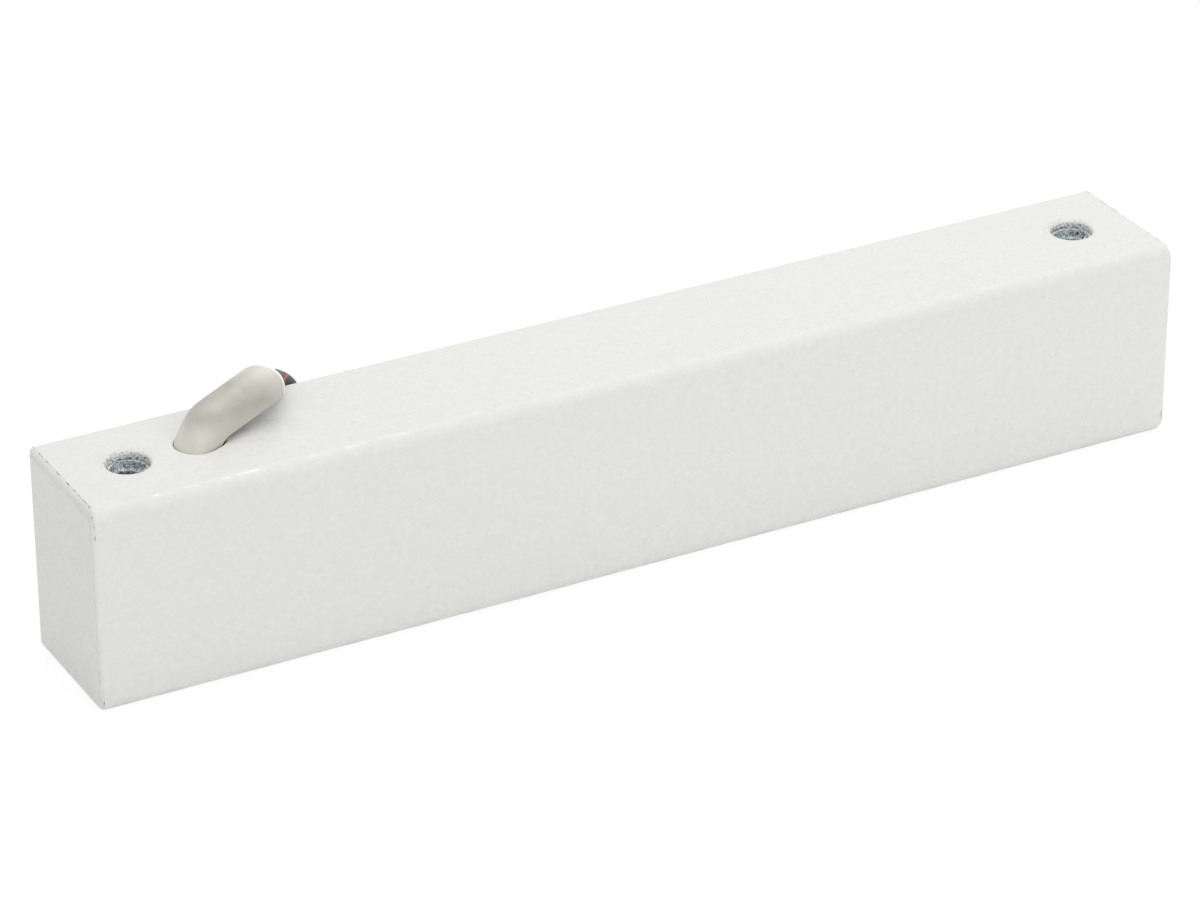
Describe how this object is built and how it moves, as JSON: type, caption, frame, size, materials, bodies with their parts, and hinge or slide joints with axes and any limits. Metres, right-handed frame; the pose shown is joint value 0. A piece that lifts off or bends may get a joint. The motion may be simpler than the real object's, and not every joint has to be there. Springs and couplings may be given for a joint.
{
  "type": "electromagnetic lock",
  "caption": "Slim bar-shaped electromagnetic lock body: folded white steel case round a potted E-core magnet, tapped fixing holes and a small cable hood on top.",
  "frame": {"origin": "under the middle of the lock, on the surface that it lies on", "axes": "+X along the lock, away from the cable hood; +Y out of the working face with the pole strips; +Z out of the mounting face with the fixing holes"},
  "size_m": [0.2, 0.0532, 0.0439],
  "materials": {
    "white_powder_coat": "semi-gloss powder coat, fine orange peel",
    "zinc_plated_steel": "bright zinc",
    "core_steel": "ground laminated steel",
    "moulded_nylon": "natural nylon",
    "enamelled_copper": "enamelled wire",
    "polyester_tape": "smooth film",
    "core_insulation": "smooth PVC",
    "shrink_sleeve": "shrunk polyolefin",
    "diode_epoxy": "moulded epoxy",
    "potting_epoxy": "cast, satin",
    "nickel_plated_steel": "satin nickel",
    "cable_sheath": "extruded PVC",
    "tinned_copper": "dipped tin"
  },
  "bodies": {
    "root": {"case_channel": "white_powder_coat", "end_plate_left": "white_powder_coat", "end_plate_right": "white_powder_coat", "weld_nut_left": "zinc_plated_steel", "weld_nut_right": "zinc_plated_steel", "magnet_core": "core_steel", "core_tie_rods": "core_steel", "coil_former": "moulded_nylon", "strain_tie": "moulded_nylon", "hank_bands": "moulded_nylon", "coil_winding": "enamelled_copper", "winding_tape": "polyester_tape", "coil_leads": "core_insulation", "cable_cores": "core_insulation", "cable_tails": "core_insulation", "lead_sleeves": "shrink_sleeve", "suppressor_diode": "diode_epoxy", "potting_resin": "potting_epoxy", "cable_hood": "nickel_plated_steel", "cable_inner": "cable_sheath", "supply_cable": "cable_sheath", "cable_hank": "cable_sheath", "cable_end": "cable_sheath", "tinned_tips": "tinned_copper"}
  },
  "joints": []
}
